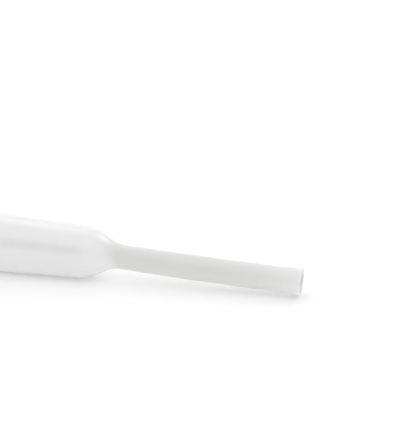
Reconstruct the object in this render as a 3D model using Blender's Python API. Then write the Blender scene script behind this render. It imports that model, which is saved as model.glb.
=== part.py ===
# Heat shrink tube, shrunk at one end only
#
# One piece of thin-walled polyolefin tubing, as cut from stock.
# Its expanded end is as supplied, wide with a thin wall. It then tapers a
# little, steps down through a soft shoulder, and ends in the recovered
# section, which is narrow with a thick wall. Both ends are cut square.
# It lies on the underside of its wide part, along +X, with the recovered
# end at +X. The recovered section droops a little, clear of the ground.
# Metres, +Z up, origin at the bottom centre of the part.

import math

import bmesh
import bpy
from mathutils import Matrix, Vector

# Lengths along the tube
EXPANDED_LENGTH = 0.048
TAPER_LENGTH = 0.031
SHOULDER_LENGTH = 0.013
RECOVERED_LENGTH = 0.0604

# Bores and walls: as supplied, where the shoulder starts, and recovered
EXPANDED_BORE = 0.0191
TAPERED_BORE = 0.0172
RECOVERED_BORE = 0.0064
EXPANDED_WALL = 0.00045
TAPERED_WALL = 0.0005
RECOVERED_WALL = 0.00105

# How far the recovered section points below level
DROOP_ANGLE = math.radians(3.0)

# Flat sides around the tube, one of them facing straight down
SIDES = 32

# Rings of corners through the curved shoulder
SHOULDER_STEPS = 14

# Seen colour and finish of the milky plastic
MILKY_WHITE = (0.73, 0.73, 0.70, 1.0)
SATIN_ROUGHNESS = 0.35


def between(start, end, share):
    """The value a share of the way from start to end."""
    return start + (end - start) * share


def clamp(share):
    """A share kept within 0 to 1."""
    return min(max(share, 0.0), 1.0)


def ease(share):
    """A share that leaves 0 and reaches 1 level, as an S curve does."""
    return share * share * (3.0 - 2.0 * share)


def taper_share(distance):
    """How much of the taper lies behind a distance from the expanded end."""
    return clamp((distance - EXPANDED_LENGTH) / TAPER_LENGTH)


def shoulder_share(distance):
    """How far the shoulder has stepped down at a distance from the expanded end."""
    return ease(clamp((distance - EXPANDED_LENGTH - TAPER_LENGTH) / SHOULDER_LENGTH))


def bore_radius(distance):
    """Radius of the bore at a distance from the expanded end."""
    wide = between(EXPANDED_BORE, TAPERED_BORE, taper_share(distance))
    return between(wide, RECOVERED_BORE, shoulder_share(distance)) / 2


def wall(distance):
    """Thickness of the wall, which grows as the tube shrinks."""
    thin = between(EXPANDED_WALL, TAPERED_WALL, taper_share(distance))
    return between(thin, RECOVERED_WALL, shoulder_share(distance))


def outer_radius(distance):
    """Outside radius at a distance from the expanded end."""
    return bore_radius(distance) + wall(distance)


def droop(distance):
    """Angle of the axis below level.

    The wide part lies with its whole underside on the ground, so along the
    taper its axis sinks as fast as its radius does.
    """
    sunk = outer_radius(0.0) - outer_radius(EXPANDED_LENGTH + TAPER_LENGTH)
    taper_angle = math.asin(sunk / TAPER_LENGTH) if distance > EXPANDED_LENGTH else 0.0
    return between(taper_angle, DROOP_ANGLE, shoulder_share(distance))


def ring_distances():
    """Distances from the expanded end at which the tube has a ring of corners."""
    shoulder_start = EXPANDED_LENGTH + TAPER_LENGTH
    steps = [SHOULDER_LENGTH * step / SHOULDER_STEPS for step in range(SHOULDER_STEPS + 1)]
    shoulder = [shoulder_start + step for step in steps]
    return [0.0, EXPANDED_LENGTH] + shoulder + [shoulder[-1] + RECOVERED_LENGTH]


def axis_points(distances):
    """Centre of each ring and the tilt of its plane, a mitre between its neighbours."""
    slopes = [droop((near + far) / 2) for near, far in zip(distances, distances[1:])]
    tilts = [between(before, after, 0.5) for before, after in zip(slopes, slopes[1:])]
    tilts = [slopes[0]] + tilts + [slopes[-1]]
    centres = [Vector((0.0, 0.0, outer_radius(0.0)))]
    for near, far, slope in zip(distances, distances[1:], slopes):
        heading = Vector((math.cos(slope), 0.0, -math.sin(slope)))
        centres.append(centres[-1] + (far - near) * heading)
    reach = centres[-1].x + outer_radius(distances[-1]) * math.sin(tilts[-1])
    middle = Vector((reach / 2, 0.0, 0.0))
    return [centre - middle for centre in centres], tilts


def add_ring(mesh, centre, tilt, radius):
    """One ring of corners, whose flat sides stand at the radius from the centre."""
    corner_radius = radius / math.cos(math.pi / SIDES)
    lean = Matrix.Rotation(tilt, 3, 'Y')
    corners = []
    for side in range(SIDES):
        angle = 2 * math.pi * (side + 0.5) / SIDES
        corner = Vector((0.0, math.cos(angle), math.sin(angle))) * corner_radius
        corners.append(mesh.verts.new(centre + lean @ corner))
    return corners


def add_strip(mesh, ring, after):
    """One band of faces between two rings."""
    for side in range(SIDES):
        beside = (side + 1) % SIDES
        mesh.faces.new((ring[side], ring[beside], after[beside], after[side]))


def plastic_material():
    """Satin milky plastic."""
    material = bpy.data.materials.new("milky_polyolefin")
    material.use_nodes = True
    shader = material.node_tree.nodes["Principled BSDF"]
    shader.inputs["Base Color"].default_value = MILKY_WHITE
    shader.inputs["Roughness"].default_value = SATIN_ROUGHNESS
    shader.inputs["Metallic"].default_value = 0.0
    return material


def make_tube():
    """The tube: its outside from end to end, then its bore back again."""
    distances = ring_distances()
    centres, tilts = axis_points(distances)
    sections = list(zip(distances, centres, tilts))
    mesh = bmesh.new()
    outside = [add_ring(mesh, centre, tilt, outer_radius(distance))
               for distance, centre, tilt in sections]
    bore = [add_ring(mesh, centre, tilt, bore_radius(distance))
            for distance, centre, tilt in reversed(sections)]
    rings = outside + bore
    for ring, after in zip(rings, rings[1:] + rings[:1]):
        add_strip(mesh, ring, after)
    bmesh.ops.recalc_face_normals(mesh, faces=mesh.faces)

    data = bpy.data.meshes.new("heat_shrink_tube")
    mesh.to_mesh(data)
    mesh.free()
    data.shade_smooth()
    data.set_sharp_from_angle(angle=math.radians(40.0))
    data.materials.append(plastic_material())
    tube = bpy.data.objects.new("heat_shrink_tube", data)
    bpy.context.scene.collection.objects.link(tube)


for old in list(bpy.data.objects):
    bpy.data.objects.remove(old)
make_tube()
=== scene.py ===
# %% [markdown]
# # A heat shrink tube, shrunk at one end
#
# The real object is one piece of milky polyolefin tubing. As supplied it is wide, with a thin wall.
# Hot air on one end lets that end shrink back to the narrow, thick-walled tube that it was made as.
# Between the two lies a soft shoulder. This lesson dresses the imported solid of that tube: it models
# the skin finely, gives it its plastic, and sets it on a pale floor under soft light.
#
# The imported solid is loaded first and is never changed. It says where the tube lies and how large it
# may be, so its box is kept before anything is added.

# %% Load the frame
import math

import bmesh
import bpy
import numpy as np
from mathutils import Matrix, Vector


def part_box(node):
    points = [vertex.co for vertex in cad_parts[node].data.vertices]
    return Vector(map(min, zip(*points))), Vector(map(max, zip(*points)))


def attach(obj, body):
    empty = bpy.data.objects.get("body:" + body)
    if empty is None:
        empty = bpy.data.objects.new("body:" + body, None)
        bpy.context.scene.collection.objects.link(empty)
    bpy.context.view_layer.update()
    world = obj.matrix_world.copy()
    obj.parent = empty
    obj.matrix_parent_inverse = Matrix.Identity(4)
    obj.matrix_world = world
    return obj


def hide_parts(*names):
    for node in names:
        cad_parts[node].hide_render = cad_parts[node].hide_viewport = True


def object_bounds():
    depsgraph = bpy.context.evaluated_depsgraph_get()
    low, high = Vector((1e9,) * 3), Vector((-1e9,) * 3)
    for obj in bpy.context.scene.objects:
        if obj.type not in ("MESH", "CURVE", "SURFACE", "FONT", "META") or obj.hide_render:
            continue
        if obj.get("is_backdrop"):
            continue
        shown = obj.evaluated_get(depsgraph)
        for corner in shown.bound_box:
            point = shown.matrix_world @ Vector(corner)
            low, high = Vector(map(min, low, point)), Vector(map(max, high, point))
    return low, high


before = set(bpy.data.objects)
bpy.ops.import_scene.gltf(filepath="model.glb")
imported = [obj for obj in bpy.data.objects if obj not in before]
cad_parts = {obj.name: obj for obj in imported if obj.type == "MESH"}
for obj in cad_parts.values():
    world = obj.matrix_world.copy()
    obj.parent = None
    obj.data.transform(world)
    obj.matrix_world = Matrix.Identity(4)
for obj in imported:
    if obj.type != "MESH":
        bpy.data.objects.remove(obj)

NODE = "heat_shrink_tube"
cad_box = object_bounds()
low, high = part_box(NODE)
print("solid from", [round(v, 4) for v in low], "to", [round(v, 4) for v in high])

# %% [markdown]
# ## The tube's own measures
#
# A tube is known by its bores and walls. The stock is of the kind that shrinks three to one, so the
# bore goes from 19.1 mm to 6.4 mm, and the wall grows, because the same plastic has a shorter way
# round. The overall width and the place of the open end come from the frame, and the lengths follow
# the solid's. The solid has one straight taper and one plain step. On the real tube the taper sets
# in earlier and the shoulder is drawn out more at its brow. The two differ by tenths of a millimetre.

# %% Measures
MM = 0.001

EXPANDED_RADIUS = (high.y - low.y) / 2
EXPANDED_WALL = 0.45 * MM
TAPERED_RADIUS = 8.9 * MM
TAPERED_WALL = 0.5 * MM
RECOVERED_RADIUS = 4.15 * MM
RECOVERED_WALL = 1.05 * MM

TUBE_LENGTH = 152.4 * MM
RECOVERED_LENGTH = 60.2 * MM
SHOULDER_LENGTH = 15.8 * MM
TAPER_LENGTH = 36.0 * MM
RECOVERED_START = TUBE_LENGTH - RECOVERED_LENGTH
SHOULDER_START = RECOVERED_START - SHOULDER_LENGTH
TAPER_START = SHOULDER_START - TAPER_LENGTH
print(f"expanded part {TAPER_START / MM:.1f} mm, shoulder from {SHOULDER_START / MM:.1f} mm")

# %% [markdown]
# ## How far the tube has shrunk
#
# Everything about the tube follows one question: how far has it shrunk here? Two soft steps answer
# it. The taper is the slight shrinking that stray heat leaves in the wide part. The shoulder is the
# real step. A ramp with a rounded start keeps the taper from kinking. The smoothstep curve alone
# would make a shoulder that is the same at both ends, so it is raised to a power, which rounds the
# brow and tightens the foot.

# %% Soft steps
TAPER_ROUNDING = 9.0 * MM
FOOT_TIGHTNESS = 1.77


def smooth(value):
    """An S curve from 0 to 1 that starts and ends level."""
    share = np.clip(value, 0.0, 1.0)
    return share * share * (3.0 - 2.0 * share)


def taper_at(along):
    """How much of the taper is done, from 0 to 1."""
    past = along - TAPER_START
    rounded = (past + TAPER_ROUNDING) ** 2 / (4.0 * TAPER_ROUNDING)
    ramp = np.where(past < -TAPER_ROUNDING, 0.0, np.where(past > TAPER_ROUNDING, past, rounded))
    return np.clip(ramp / TAPER_LENGTH, 0.0, 1.0)


def shrunk_at(along):
    """How far the shoulder has stepped down, from 0 to 1."""
    return smooth((along - SHOULDER_START) / SHOULDER_LENGTH) ** FOOT_TIGHTNESS


halfway = float(shrunk_at(SHOULDER_START + SHOULDER_LENGTH / 2))
print(f"halfway along the shoulder {halfway:.2f} of the step is done")

# %% [markdown]
# ## Outside and wall
#
# A recovered section is never a perfect pipe. Just past the shoulder it is a little slimmer, where
# the heat was strongest, and the last few millimetres before the cut open out a little. Slow waves
# in its width come from uneven heating. These are tenths of a millimetre and less, but on a satin
# surface the light shows them.

# %% Outside and wall
WAIST_DEPTH = 0.15 * MM
WAIST_PLACE = RECOVERED_START + 3.5 * MM
WAIST_WIDTH = 6.5 * MM
FLARE_RISE = 0.22 * MM
FLARE_LENGTH = 9.0 * MM
HEAT_WAVES = ((0.035 * MM, 19.0 * MM, 0.6), (0.02 * MM, 7.7 * MM, 2.1))


def between(start, end, share):
    """The value a share of the way from start to end."""
    return start + (end - start) * share


def bell(value, middle, width):
    """1 at the middle, fading to nothing a few widths away."""
    return np.exp(-((value - middle) / width) ** 2)


def outside_at(along):
    """Mean outside radius."""
    wide = between(EXPANDED_RADIUS, TAPERED_RADIUS, taper_at(along))
    radius = between(wide, RECOVERED_RADIUS, shrunk_at(along))
    radius = radius - WAIST_DEPTH * bell(along, WAIST_PLACE, WAIST_WIDTH)
    radius = radius + FLARE_RISE * smooth((along - TUBE_LENGTH + FLARE_LENGTH) / FLARE_LENGTH)
    for height, length, start in HEAT_WAVES:
        radius = radius + height * shrunk_at(along) * np.sin(2.0 * np.pi * along / length + start)
    return radius


def wall_at(along):
    """Mean thickness of the wall."""
    thin = between(EXPANDED_WALL, TAPERED_WALL, taper_at(along))
    return between(thin, RECOVERED_WALL, shrunk_at(along))


print(f"outside {2 * outside_at(0.0) / MM:.1f} mm, at the cut {2 * outside_at(TUBE_LENGTH) / MM:.1f} mm")

# %% [markdown]
# ## The line through the middle
#
# The tube lies on the underside of its wide part. Along the taper the middle sinks nearly as the
# radius does, which keeps the soft underside on the floor. From the neck on it droops, steepest at
# the neck and flatter towards the end, as tubing does that was bent while it was warm. The shoulder is
# lopsided: its upper side falls further than its lower side rises, so its middle stands a little
# high. A curve object could carry this line, but the tube has to know its width at each point of it
# too. So the line is worked out in small steps, and every ring of the skin looks up its place on it.
# The slope of the taper is read a few steps before the shoulder and held through it.

# %% The line through the middle
DROOP_AT_NECK = math.radians(4.1)
DROOP_AT_END = math.radians(1.9)
SHOULDER_RISE = 0.38 * MM
RISE_PLACE = SHOULDER_START + 7.5 * MM
RISE_WIDTH = 6.0 * MM
SINKING_SHARE = 0.86
LINE_STEPS = 1500
STEPS_BEFORE = 5

line_along = np.linspace(0.0, TUBE_LENGTH, LINE_STEPS)
sinking = -np.gradient(between(EXPANDED_RADIUS, TAPERED_RADIUS, taper_at(line_along)), line_along)
recovered_share = np.clip((line_along - RECOVERED_START) / RECOVERED_LENGTH, 0.0, 1.0)
lying = SINKING_SHARE * np.arcsin(sinking)
lying_at_shoulder = lying[line_along < SHOULDER_START][-STEPS_BEFORE]
lying = np.where(line_along > SHOULDER_START, lying_at_shoulder, lying)
hanging = between(DROOP_AT_NECK, DROOP_AT_END, recovered_share)
droop = between(lying, hanging, shrunk_at(line_along))

step = line_along[1] - line_along[0]
line_x = low.x + np.concatenate(([0.0], np.cumsum(np.cos(droop[:-1]) * step)))
line_z = EXPANDED_RADIUS - np.concatenate(([0.0], np.cumsum(np.sin(droop[:-1]) * step)))
line_z = line_z + SHOULDER_RISE * bell(line_along, RISE_PLACE, RISE_WIDTH)
print(f"the line ends at x {line_x[-1] / MM:.2f} mm, z {line_z[-1] / MM:.2f} mm")

# %% [markdown]
# ## Out of round
#
# The skin is placed by three numbers: how far along the tube, which way round, and how deep below
# the outside. The wide part flattens a little under its own weight, most at its open end, where
# nothing holds it round, and it keeps its underside on the floor. The recovered end is pinched a
# little. Round the neck the plastic gathers in shallow flutes where a wide ring had to become a
# narrow one. The bore is not quite in the middle, so the wall is thicker on one side, most of all
# at the cut. The cut was made by hand, so it leans by a degree or two.

# %% Place a point of the skin
FLAT_AT_OPEN_END = 0.022
FLAT_ELSEWHERE = 0.008
FLAT_REACH = 30.0 * MM
PINCH_AT_CUT = 0.035
PINCH_REACH = 9.0 * MM
PINCH_TURN = math.radians(68.0)
FLUTES = ((0.050 * MM, 7, 0.4), (0.035 * MM, 11, 2.0), (0.022 * MM, 17, 4.1))
FLUTE_PLACE = SHOULDER_START + 9.0 * MM
FLUTE_WIDTH = 6.0 * MM
BORE_OFFSET = 0.07
BORE_OFFSET_AT_CUT = 0.55
BORE_OFFSET_REACH = 7.0 * MM
THICK_SIDE = math.radians(95.0)
SIDEWAYS_BOW = 0.15 * MM
CUT_LEAN = math.radians(1.7)
CUT_LEAN_REACH = 6.0 * MM


def place(along, around, depth):
    """Points of the skin, from how far along, which way round and how deep below the outside."""
    outside = outside_at(along)
    near_flutes = bell(along, FLUTE_PLACE, FLUTE_WIDTH)
    for height, count, start in FLUTES:
        outside = outside + height * near_flutes * np.cos(count * around + start)
    pinch = PINCH_AT_CUT * bell(along, TUBE_LENGTH, PINCH_REACH)
    outside = outside * (1.0 + pinch * np.cos(2.0 * (around - PINCH_TURN)))
    offset = between(BORE_OFFSET, BORE_OFFSET_AT_CUT, bell(along, TUBE_LENGTH, BORE_OFFSET_REACH))
    radius = outside - depth * (1.0 + offset * np.cos(around - THICK_SIDE))
    across = radius * np.cos(around)
    upward = radius * np.sin(around)

    flat = between(FLAT_ELSEWHERE, FLAT_AT_OPEN_END, bell(along, 0.0, FLAT_REACH))
    flat = flat * (1.0 - shrunk_at(along))
    underside = -outside_at(along)
    upward = between(upward, underside, flat)
    recovered = np.clip((along - RECOVERED_START) / RECOVERED_LENGTH, 0.0, 1.0)
    bow = SIDEWAYS_BOW * np.sin(np.pi * recovered)

    tilt = np.interp(along, line_along, droop)
    lean = math.tan(CUT_LEAN) * across * bell(along, TUBE_LENGTH, CUT_LEAN_REACH)
    x = np.interp(along, line_along, line_x) + upward * np.sin(tilt) + lean
    z = np.interp(along, line_along, line_z) + upward * np.cos(tilt)
    return np.stack(np.broadcast_arrays(x, across + bow, z), axis=-1)


print("top of the cut end at", (place(TUBE_LENGTH, math.pi / 2, 0.0) / MM).round(2), "mm")

# %% [markdown]
# ## The skin as one closed strip
#
# The tube is a closed surface with a hole through it, like a very long ring doughnut. One way is to
# draw its half section and spin it, but the line is bent. So the section is walked once round, from
# the open end along the outside, over the cut edge, back through the bore and over the other cut
# edge. Each step of that walk becomes a ring, and neighbouring rings are joined by four-sided faces.
# The cut edges get a small quarter round each, because a blade leaves a soft edge on such plastic,
# and an edge without one catches no light.

# %% The walk round the section
AROUND = 128
STEP_WIDE = 1.6 * MM
STEP_FINE = 0.42 * MM
FINE_BEFORE = 4.0 * MM
FINE_AFTER = 12.0 * MM
FLARE_STEPS = 14
ROUND_STEPS = 4
EDGE_AT_OPEN_END = 0.09 * MM
EDGE_AT_CUT_END = 0.16 * MM
CUT_STEPS = 3


def outside_steps(step_wide, step_fine, margin_start, margin_end):
    """Distances along the tube, close together from before the shoulder to past the neck."""
    wide = np.arange(margin_start, SHOULDER_START - FINE_BEFORE, step_wide)
    neck = np.arange(wide[-1] + step_fine, RECOVERED_START + FINE_AFTER, step_fine)
    narrow = np.arange(neck[-1] + step_wide / 2, TUBE_LENGTH - FLARE_LENGTH, step_wide / 2)
    flare = np.linspace(narrow[-1] + step_fine, TUBE_LENGTH - margin_end, FLARE_STEPS)
    return np.concatenate((wide, neck, narrow, flare))


def cut_face(end, inward, edge, wall):
    """The walk over one cut face, from the outside to the bore, with rounded edges."""
    turn = np.linspace(0.0, np.pi / 2, ROUND_STEPS + 1)
    over = [(end + inward * edge * (1.0 - math.sin(t)), edge * (1.0 - math.cos(t))) for t in turn[1:]]
    flat = [(end, edge + (wall - 2.0 * edge) * k / CUT_STEPS) for k in range(1, CUT_STEPS)]
    back = [(along, wall - depth) for along, depth in reversed(over)]
    return over + flat + back


outer_walk = [(a, 0.0) for a in outside_steps(STEP_WIDE, STEP_FINE, EDGE_AT_OPEN_END, EDGE_AT_CUT_END)]
bore_walk = [(a, float(wall_at(a)))
             for a in outside_steps(2 * STEP_WIDE, 2 * STEP_FINE, EDGE_AT_OPEN_END, EDGE_AT_CUT_END)]
cut_end = cut_face(TUBE_LENGTH, -1.0, EDGE_AT_CUT_END, float(wall_at(TUBE_LENGTH)))
open_end = cut_face(0.0, 1.0, EDGE_AT_OPEN_END, float(wall_at(0.0)))
walk = outer_walk + cut_end + bore_walk[::-1] + open_end[::-1]
print(len(walk), "rings of", AROUND, "points")

# %% [markdown]
# ## Build the mesh
#
# The points come from the walk and the angles in one go. The corners of each face are listed so that
# it looks outwards, or the shader would take the outside for the inside. Adding up the volume under
# the faces tells: it is positive only if they do.

# %% Build the mesh
SHARP_ANGLE = math.radians(50.0)

walk_along = np.array([a for a, _ in walk])
walk_depth = np.array([d for _, d in walk])
angles = 2.0 * np.pi * (np.arange(AROUND) + 0.5) / AROUND
points = place(walk_along[:, None], angles[None, :], walk_depth[:, None])
points[..., 2] -= points[..., 2].min()

rings = len(walk)
ring_index = np.arange(rings)[:, None] * AROUND
next_ring = np.roll(np.arange(rings), -1)[:, None] * AROUND
side = np.arange(AROUND)[None, :]
beside = np.roll(np.arange(AROUND), -1)[None, :]
faces = np.stack((ring_index + side, ring_index + beside, next_ring + beside, next_ring + side), axis=-1)

skin = bpy.data.meshes.new("tube_skin")
skin.from_pydata(points.reshape(-1, 3).tolist(), [], faces.reshape(-1, 4).tolist())
skin.validate()
skin.shade_smooth()
skin.set_sharp_from_angle(angle=SHARP_ANGLE)
measure = bmesh.new()
measure.from_mesh(skin)
volume = measure.calc_volume(signed=True)
measure.free()
print(len(skin.vertices), "points,", len(skin.polygons), "faces,", round(volume / MM ** 3), "cubic mm")

# %% [markdown]
# ## Facts for the finish
#
# Each point keeps three facts for the finish, as attributes of the mesh: where it would be on the
# straight tube, how much painted light brightens it towards the open cut end, and whether it lies on
# a cut face. The finish then follows the tube round its bend, which plain object coordinates would not.

# %% Facts for the finish
PAINTED_LIGHT_LENGTH = 34.0 * MM
PAINTED_LIGHT_LATENESS = 2
CUT_REACH = 0.6
FACTS = ("straight", "painted_end_light", "cut")


def remember(name, kind, field, values):
    """Stores one value for each point of the skin."""
    fact = skin.attributes.new(name, kind, "POINT")
    fact.data.foreach_set(field, np.ascontiguousarray(values, dtype=np.float32).ravel())


grid_along = np.broadcast_to(walk_along[:, None], (rings, AROUND))
grid_round = np.broadcast_to(angles[None, :], (rings, AROUND))
straight_radius = outside_at(grid_along) - walk_depth[:, None]
straight_across = straight_radius * np.cos(grid_round)
straight_upward = straight_radius * np.sin(grid_round)
straight = np.stack((grid_along, straight_across, straight_upward), axis=-1)
# Painted light: this share makes the dense plastic paler over the last few centimetres, standing in for
# light that comes in through the open cut end.
painted_end_light_share = smooth((grid_along - TUBE_LENGTH + PAINTED_LIGHT_LENGTH) / PAINTED_LIGHT_LENGTH) ** PAINTED_LIGHT_LATENESS
near_cut_end = grid_along > TUBE_LENGTH - CUT_REACH * EDGE_AT_CUT_END
near_open_end = grid_along < CUT_REACH * EDGE_AT_OPEN_END
on_cut = near_cut_end | near_open_end
remember("straight", "FLOAT_VECTOR", "vector", straight)
remember("painted_end_light", "FLOAT", "value", painted_end_light_share)
remember("cut", "FLOAT", "value", on_cut.astype(float))

tube = bpy.data.objects.new("shrunk_tube", skin)
bpy.context.scene.collection.objects.link(tube)
print("the skin remembers", [fact.name for fact in skin.attributes if fact.name in FACTS])

# %% [markdown]
# ## Shader maths written as sums
#
# A finish is a graph of nodes, and a graph in code soon hides its own sense. One small class wraps
# a socket, so that masks can be written as plain sums and products. Anything that isn't arithmetic
# comes from one method, which takes the kind of node, its settings and what goes into it.

# %% A socket that can do sums
class Wire:
    """A node's output socket that adds Math nodes when it is used in a sum."""

    def __init__(self, tree, socket):
        self.tree = tree
        self.socket = socket

    def node(self, kind, output=0, settings=None, **inputs):
        """A new node of that kind; inputs are named by their socket's name or number."""
        made = self.tree.nodes.new(kind)
        for name, value in (settings or {}).items():
            setattr(made, name, value)
        for name, value in inputs.items():
            key = int(name[1:]) if name[0] == "_" and name[1:].isdigit() else name.replace("_", " ")
            self.join(made.inputs[key], value)
        return Wire(self.tree, made.outputs[output] if made.outputs else None)

    def join(self, socket, value):
        """Links a wire to a socket, or sets the socket to a plain value."""
        if isinstance(value, Wire):
            self.tree.links.new(value.socket, socket)
        else:
            socket.default_value = value

    def maths(self, operation, first, second=0.0):
        """One Math node."""
        return self.node("ShaderNodeMath", settings={"operation": operation}, _0=first, _1=second)

    def __add__(self, other):
        return self.maths("ADD", self, other)

    def __radd__(self, other):
        return self.maths("ADD", other, self)

    def __sub__(self, other):
        return self.maths("SUBTRACT", self, other)

    def __rsub__(self, other):
        return self.maths("SUBTRACT", other, self)

    def __mul__(self, other):
        return self.maths("MULTIPLY", self, other)

    def __rmul__(self, other):
        return self.maths("MULTIPLY", other, self)


print("a wire can be added, subtracted and multiplied, on either side of a number")

# %% [markdown]
# ## Milky plastic
#
# The plastic is polyolefin without pigment. Light gets into it, scatters and comes out near by, so
# it looks milky and never quite solid. Where the wall is thin it is a cloudy film with a smooth,
# glossy face, because the expanding stretched that face tight. Where it has shrunk, the same plastic
# is more than twice as thick, so it is denser and a shade warmer, and its face has gone satin.
#
# Two Principled shaders hold the two states, and the place along the tube mixes them. The helpers
# add their nodes to the tree that `graph` holds.

# %% Start the material
plastic = bpy.data.materials.new("milky_polyolefin")
plastic.use_nodes = True
tree = plastic.node_tree
tree.nodes.clear()
graph = Wire(tree, None)


def attribute(name, output):
    """A fact that the mesh remembers."""
    return graph.node("ShaderNodeAttribute", output, settings={"attribute_name": name})


straight_place = attribute("straight", "Vector")
painted_end_light = attribute("painted_end_light", "Fac")
cut = attribute("cut", "Fac")
print("the plastic reads", [node.attribute_name for node in tree.nodes])

# %% [markdown]
# ## Draw lines, clouds and specks
#
# Tubing is pushed through a die and pulled off, which leaves faint lines along it. They are noise
# that is stretched along the tube, so the coordinates are squeezed in that direction before the
# noise reads them. Clouds are slow differences in how milky the film is. Specks are the fine grain
# that a shrunk face gets.

# %% Draw lines, clouds and specks
def squeezed(along_scale):
    """The place on the straight tube, squeezed along it."""
    return graph.node("ShaderNodeMapping", settings={"vector_type": "POINT"},
                      Vector=straight_place, Scale=(along_scale, 1.0, 1.0))


def noise(place_on_tube, scale, detail, roughness=0.5):
    """Soft noise from 0 to 1."""
    return graph.node("ShaderNodeTexNoise", "Fac", Vector=place_on_tube, Scale=scale,
                      Detail=detail, Roughness=roughness)


draw_lines = noise(squeezed(0.012), scale=1400.0, detail=3.0, roughness=0.6)
broad_lines = noise(squeezed(0.03), scale=320.0, detail=2.0)
clouds = noise(squeezed(0.5), scale=110.0, detail=3.0, roughness=0.55)
specks = noise(squeezed(1.0), scale=2600.0, detail=2.0, roughness=0.6)
print(len(tree.nodes), "nodes so far")

# %% [markdown]
# ## The film
#
# The film lets a little of the light straight through and scatters half of the rest below its
# surface. It mirrors twice as strongly as a thick piece would, because both its faces do. That is a
# Specular IOR Level of 1, since 0.5 is the plain one. The film is nearly smooth: its lines are about
# a hundredth of a millimetre, and bump heights are in metres, as the tube is. Colours go through Mix
# nodes, since a Math node would turn them grey.

# %% The film
PLASTIC_IOR = 1.49
SCATTER_RADIUS = (1.0, 0.99, 0.98)
SCATTER_SCALE = 1.6 * MM
FILM_CLEAR = (0.993, 0.989, 0.990, 1.0)
FILM_CLOUDED = (0.975, 0.969, 0.970, 1.0)
FILM_SEE_THROUGH = 0.08
FILM_MIRROR = 1.0
FILM_SCATTER = 0.5
FILM_ROUGHNESS = 0.10
ROUGHER_ON_LINES = 0.06
ROUGHER_IN_CLOUDS = 0.05
FILM_RELIEF = 0.012 * MM
FILM_BROAD_SHARE = 1.5


def colour_mix(factor, first, second):
    """A colour between two colours."""
    return graph.node("ShaderNodeMix", 2, settings={"data_type": "RGBA"}, _0=factor, _6=first, _7=second)


def bump(height, distance):
    """A Bump node's normal."""
    return graph.node("ShaderNodeBump", Height=height, Distance=distance, Strength=1.0)


film = graph.node("ShaderNodeBsdfPrincipled",
                  Base_Color=colour_mix(clouds, FILM_CLEAR, FILM_CLOUDED),
                  Roughness=FILM_ROUGHNESS + ROUGHER_ON_LINES * draw_lines + ROUGHER_IN_CLOUDS * clouds,
                  Normal=bump(draw_lines + FILM_BROAD_SHARE * broad_lines, FILM_RELIEF),
                  IOR=PLASTIC_IOR, Specular_IOR_Level=FILM_MIRROR,
                  Transmission_Weight=FILM_SEE_THROUGH, Subsurface_Weight=FILM_SCATTER,
                  Subsurface_Radius=SCATTER_RADIUS, Subsurface_Scale=SCATTER_SCALE)
print(f"the film scatters {FILM_SCATTER:.0%} of the light, over {SCATTER_SCALE / MM:.1f} mm")

# %% [markdown]
# ## The dense plastic
#
# The dense plastic scatters all of the light below its surface. Its face is satin: the draw lines
# stand a little higher than on the film, and a fine grain lies between them. Its colour wanders a
# little with the broad lines. Towards the cut end it is painted paler: painted light, standing in for
# the light that comes in through the open end. The cut faces are fresh, so they have none of the
# skin's warmth.

# %% The dense plastic
DENSE_COOL = (0.732, 0.728, 0.719, 1.0)
DENSE_WARM = (0.718, 0.71, 0.689, 1.0)
DENSE_PAINTED_LIGHT = (0.770, 0.765, 0.76, 1.0)
DENSE_CUT = (0.75, 0.75, 0.745, 1.0)
DENSE_ROUGHNESS = 0.40
ROUGHER_ON_SPECKS = 0.12
DENSE_RELIEF = 0.02 * MM
DENSE_SPECK_SHARE = 0.5

# Painted light: the skin is mixed towards a paler colour near the cut end, for the light that comes in
# at the open end.
skin_colour = colour_mix(painted_end_light, colour_mix(broad_lines, DENSE_COOL, DENSE_WARM), DENSE_PAINTED_LIGHT)
dense = graph.node("ShaderNodeBsdfPrincipled",
                   Base_Color=colour_mix(cut, skin_colour, DENSE_CUT),
                   Roughness=DENSE_ROUGHNESS + ROUGHER_ON_SPECKS * specks,
                   Normal=bump(draw_lines + broad_lines + DENSE_SPECK_SHARE * specks, DENSE_RELIEF),
                   IOR=PLASTIC_IOR, Subsurface_Weight=1.0,
                   Subsurface_Radius=SCATTER_RADIUS, Subsurface_Scale=SCATTER_SCALE)
print(len(tree.nodes), "nodes after the dense plastic")

# %% [markdown]
# ## Mix them along the tube
#
# The film turns dense in the second half of the shoulder. The border comes later on the lower side,
# which the hot air reached last. The clouds push it to and fro a little, so that it is no straight
# line round the neck. A mask of the place along the tube mixes the two shaders, so the plastic stays
# one material.

# %% Mix them along the tube
BORDER_START = SHOULDER_START + 8.9 * MM
BORDER_END = RECOVERED_START - 0.9 * MM
BORDER_SIDE = (0.0, 0.44, 0.90)
BORDER_SLANT = 0.9
BORDER_RAGGEDNESS = 1.2 * MM
LENGTHWISE = (1.0, 0.0, 0.0)


def how_far(vector, way):
    """How far a vector goes that way."""
    return graph.node("ShaderNodeVectorMath", "Value", settings={"operation": "DOT_PRODUCT"},
                      _0=vector, _1=way)


def soft_step(value, begins, done):
    """0 where the value begins, 1 where it is done, and a soft curve between."""
    return graph.node("ShaderNodeMapRange", settings={"interpolation_type": "SMOOTHSTEP"},
                      Value=value, From_Min=begins, From_Max=done)


along = how_far(straight_place, LENGTHWISE)
low_side = graph.maths("MINIMUM", how_far(straight_place, BORDER_SIDE), 0.0)
border_place = along + BORDER_SLANT * low_side + BORDER_RAGGEDNESS * (clouds - 0.5)
density = soft_step(border_place, BORDER_START, BORDER_END)
graph.node("ShaderNodeOutputMaterial",
           Surface=graph.node("ShaderNodeMixShader", _0=density, _1=film, _2=dense))
skin.materials.append(plastic)
print(len(tree.nodes), "nodes in the plastic")

# %% [markdown]
# ## Join the tube to the frame
#
# The tube has no joint, so it rides on the one body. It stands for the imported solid, which is
# hidden, and takes its finish from the record's one slot.

# %% Join the tube to the frame
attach(tube, "root")
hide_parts(NODE)
print(tube.name, "stands for", NODE)

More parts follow.
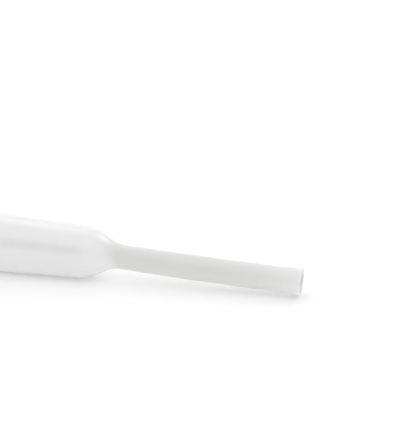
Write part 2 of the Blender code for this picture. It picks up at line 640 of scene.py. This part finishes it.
# %% [markdown]
# ## Floor
#
# The floor is a plain white sheet, large enough to fill every view. It is lit until it burns out to
# pure white, which is how such stock is photographed, and it glows a little, as a sheet on a light
# table does. That keeps the shadows pale and lights the tube's underside. It has the faint mottle of
# coated paper, which shows only where it is in shadow.

# %% Floor
FLOOR_HALF = 3.0
FLOOR_PALE = (0.80, 0.80, 0.80, 1.0)
FLOOR_PALER = (0.82, 0.82, 0.82, 1.0)
FLOOR_GLOW = 0.20
FLOOR_ROUGHNESS = 0.9
FLOOR_MIRROR = 0.1
MOTTLE_SCALE = 40.0
WHITE = (1.0, 1.0, 1.0, 1.0)

sheet = bpy.data.meshes.new("floor")
corners = [(-FLOOR_HALF, -FLOOR_HALF, 0.0), (FLOOR_HALF, -FLOOR_HALF, 0.0),
           (FLOOR_HALF, FLOOR_HALF, 0.0), (-FLOOR_HALF, FLOOR_HALF, 0.0)]
sheet.from_pydata(corners, [], [(0, 1, 2, 3)])
floor = bpy.data.objects.new("floor", sheet)
bpy.context.scene.collection.objects.link(floor)

paper = bpy.data.materials.new("pale_floor")
paper.use_nodes = True
tree = paper.node_tree
tree.nodes.clear()
graph = Wire(tree, None)
mottle = graph.node("ShaderNodeTexNoise", "Fac", Scale=MOTTLE_SCALE, Detail=2.0)
face = graph.node("ShaderNodeBsdfPrincipled",
                  Base_Color=colour_mix(mottle, FLOOR_PALE, FLOOR_PALER),
                  Roughness=FLOOR_ROUGHNESS, Specular_IOR_Level=FLOOR_MIRROR,
                  Emission_Color=WHITE, Emission_Strength=FLOOR_GLOW)
graph.node("ShaderNodeOutputMaterial", Surface=face)
sheet.materials.append(paper)
floor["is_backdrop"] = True
print(f"floor of {2 * FLOOR_HALF:.0f} m")

# %% [markdown]
# ## Surround
#
# White plastic on white paper is lit nearly from all round, so most of the light is a pale
# surround. It is dark in one patch in front, the unlit part of the room. The glossy film mirrors that
# patch as the soft grey band along its middle. Beyond both ends of the tube the surround is about
# two thirds as bright, so that the film keeps its form when it is seen from other sides. A
# background shader can tell directions apart by their Generated coordinates.

# %% Surround
SURROUND_DIM = (0.20, 0.21, 0.23, 1.0)
SURROUND_STRENGTH = 1.195
DARK_SIDE = (-0.18, -0.88, 0.45)
DARK_FROM = 0.93
DARK_FULLY = 0.985
ENDS_FROM = 0.10
ENDS_FULLY = 0.50
ENDS_DIMNESS = 0.45

world = bpy.data.worlds.new("pale_surround")
world.use_nodes = True
tree = world.node_tree
tree.nodes.clear()
graph = Wire(tree, None)
direction = graph.node("ShaderNodeTexCoord", "Generated")
dark_patch = soft_step(how_far(direction, Vector(DARK_SIDE).normalized()), DARK_FROM, DARK_FULLY)
lengthwise = how_far(direction, LENGTHWISE)
ends = soft_step(lengthwise * lengthwise, ENDS_FROM, ENDS_FULLY)
dimness = dark_patch + ENDS_DIMNESS * ends
sky = graph.node("ShaderNodeBackground", Color=colour_mix(dimness, WHITE, SURROUND_DIM),
                 Strength=SURROUND_STRENGTH)
graph.node("ShaderNodeOutputWorld", Surface=sky)
bpy.context.scene.world = world
print("surround of", SURROUND_STRENGTH, "made of", len(tree.nodes), "nodes")

# %% [markdown]
# ## Panels
#
# A panel above and behind draws the sheen along the upper side, and its front edge is where that
# sheen ends. A small one to the right puts the bright spot on the shoulder. Both are area lights,
# because a panel's size is the size of its reflection.

# %% Panels
TUBE_MIDDLE = (0.0, 0.0, 0.01)
SHOULDER = (0.012, 0.0, 0.015)


def soft_panel(name, place_at, aim, width, height, watts):
    """An area light that faces a point."""
    light = bpy.data.lights.new(name, "AREA")
    light.shape = "RECTANGLE"
    light.size = width
    light.size_y = height
    light.energy = watts
    lamp = bpy.data.objects.new(name, light)
    lamp.location = place_at
    lamp.rotation_euler = (Vector(aim) - Vector(place_at)).to_track_quat("-Z", "Y").to_euler()
    lamp.visible_camera = False
    bpy.context.scene.collection.objects.link(lamp)


soft_panel("panel_above", (-0.14, 0.47, 0.58), TUBE_MIDDLE, width=0.22, height=0.42, watts=0.20)
soft_panel("panel_right", (0.45, 0.47, 0.49), SHOULDER, width=0.16, height=0.12, watts=0.14)
print([(light.name, round(light.energy, 3)) for light in bpy.data.lights])

# %% [markdown]
# ## Camera
#
# The photograph looks down on the tube from the front at 26 degrees, a little from the right, so
# the cut of the recovered end just shows. It was taken from some way off with a long lens. The
# picture's left edge cuts the wide part off. Nothing is shifted and all is sharp.

# %% Camera
CAMERA_RISE = math.radians(26.0)
CAMERA_TURN = math.radians(11.49)
CAMERA_DISTANCE = 0.900
CAMERA_AIM = Vector((0.03176, 0.05197, 0.0))
CAMERA_LENS = 216.4
SENSOR_WIDTH = 36.0
NEAREST = 0.01
FURTHEST = 20.0

back = Vector((math.sin(CAMERA_TURN) * math.cos(CAMERA_RISE),
               -math.cos(CAMERA_TURN) * math.cos(CAMERA_RISE),
               math.sin(CAMERA_RISE)))
lens = bpy.data.cameras.new("camera")
lens.lens = CAMERA_LENS
lens.sensor_width = SENSOR_WIDTH
lens.clip_start = NEAREST
lens.clip_end = FURTHEST
camera = bpy.data.objects.new("camera", lens)
camera.location = CAMERA_AIM + back * CAMERA_DISTANCE
camera.rotation_euler = (-back).to_track_quat("-Z", "Y").to_euler()
bpy.context.scene.collection.objects.link(camera)
bpy.context.scene.camera = camera
bpy.context.scene.view_settings.view_transform = "Standard"
print("camera at", [round(v, 3) for v in camera.location])

# %% [markdown]
# ## The size of the dressed tube
#
# The dressed tube has to stay inside the solid's box. Both boxes are printed.

# %% Print both boxes
dressed_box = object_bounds()
for name, box in (("solid", cad_box), ("dressed", dressed_box)):
    print(name, [round(v / MM, 3) for corner in box for v in corner])
